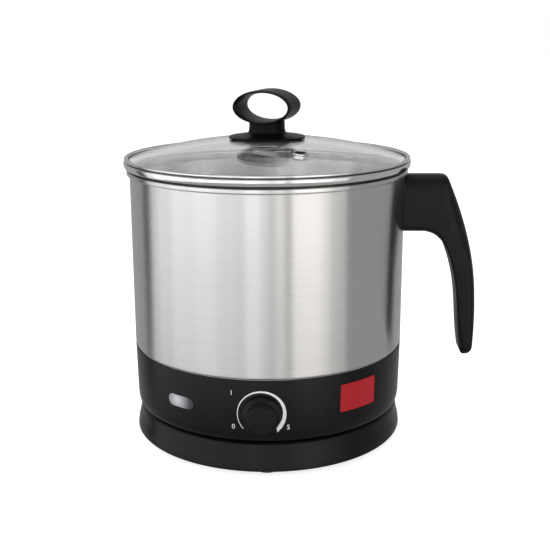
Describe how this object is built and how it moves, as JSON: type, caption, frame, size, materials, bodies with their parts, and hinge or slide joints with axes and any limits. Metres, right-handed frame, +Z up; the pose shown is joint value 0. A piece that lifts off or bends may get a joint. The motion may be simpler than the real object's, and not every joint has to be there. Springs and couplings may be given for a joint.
{
  "type": "electric hot pot with lid",
  "caption": "Round cordless electric hot pot: brushed steel cup on a black heater collar with a side grip, loose domed glass lid with a hoop knob, and a power base with a central connector.",
  "frame": {"origin": "on the pot's axis, in the plane of the table under the feet", "axes": "+Z up along the pot's axis, +X towards the handle, -Y towards the dial"},
  "size_m": [0.2074, 0.1736, 0.2052],
  "materials": {
    "black_plastic": "satin moulded black plastic",
    "black_moulding": "soft satin black plastic",
    "black_rubber": "matt rubber",
    "seal_rubber": "translucent silicone",
    "zinc_steel": "zinc plated",
    "contact_brass": "plated contact metal",
    "cream_plastic": "heat-proof moulding",
    "wire_jacket": "insulated lead",
    "brushed_steel": "fine brushed stainless steel",
    "polished_steel": "polished stainless steel",
    "aluminium": "cast aluminium",
    "clear_glass": "tempered clear glass",
    "lens_plastic": "frosted clear plastic",
    "lamp_glass": "neon lamp",
    "silver_print": "silver print",
    "red_plate": "red plate"
  },
  "bodies": {
    "base": {"base_shell": "black_plastic", "base_cover": "black_plastic", "base_foot_1": "black_rubber", "base_foot_2": "black_rubber", "base_foot_3": "black_rubber", "base_foot_4": "black_rubber", "base_screw_1": "zinc_steel", "base_screw_2": "zinc_steel", "base_screw_3": "zinc_steel", "base_socket": "black_plastic", "contact_centre": "contact_brass", "contact_ring": "contact_brass", "cord_gland": "black_rubber", "terminal_block": "cream_plastic", "base_lead_1": "wire_jacket", "base_lead_2": "wire_jacket", "base_lead_3": "wire_jacket"},
    "pot": {"pot_shell": "brushed_steel", "heat_plate": "aluminium", "heating_element": "aluminium", "collar": "black_plastic", "collar_seal": "seal_rubber", "collar_floor": "black_plastic", "collar_screw_1": "zinc_steel", "collar_screw_2": "zinc_steel", "collar_screw_3": "zinc_steel", "collar_nut_1": "zinc_steel", "collar_nut_2": "zinc_steel", "collar_nut_3": "zinc_steel", "pot_connector": "black_plastic", "connector_core": "cream_plastic", "connector_pin": "contact_brass", "connector_ring": "contact_brass", "thermostat_body": "cream_plastic", "thermostat_bracket": "zinc_steel", "bracket_screw_1": "zinc_steel", "bracket_screw_2": "zinc_steel", "thermal_fuse": "zinc_steel", "lamp_lens": "lens_plastic", "lamp_bulb": "lamp_glass", "pot_lead_1": "wire_jacket", "pot_lead_2": "wire_jacket", "pot_lead_3": "wire_jacket", "dial_scale": "silver_print", "badge": "red_plate", "handle_grip": "black_moulding", "handle_cover": "black_moulding", "handle_bracket": "zinc_steel", "handle_screw": "zinc_steel"},
    "dial": {"dial_knob": "black_moulding", "dial_spindle": "zinc_steel"},
    "lid": {"lid_band": "polished_steel", "lid_glass": "clear_glass", "vent_eyelet": "polished_steel", "vent_washer": "black_rubber", "lid_knob": "black_moulding", "knob_washer": "black_rubber", "lid_seal": "seal_rubber", "lid_cup_washer": "polished_steel", "lid_screw": "zinc_steel"}
  },
  "joints": [
    {"name": "pot_lift", "type": "slide", "parent": "base", "child": "pot", "axis": [0, 0, 1], "range_m": [0, 0.12]},
    {"name": "lid_lift", "type": "slide", "parent": "pot", "child": "lid", "axis": [0, 0, 1], "range_m": [0, 0.12]},
    {"name": "dial_turn", "type": "hinge", "parent": "pot", "child": "dial", "pos_m": [0, -0.0855, 0.038], "axis": [0, 1, 0], "range_deg": [0, 270]}
  ]
}
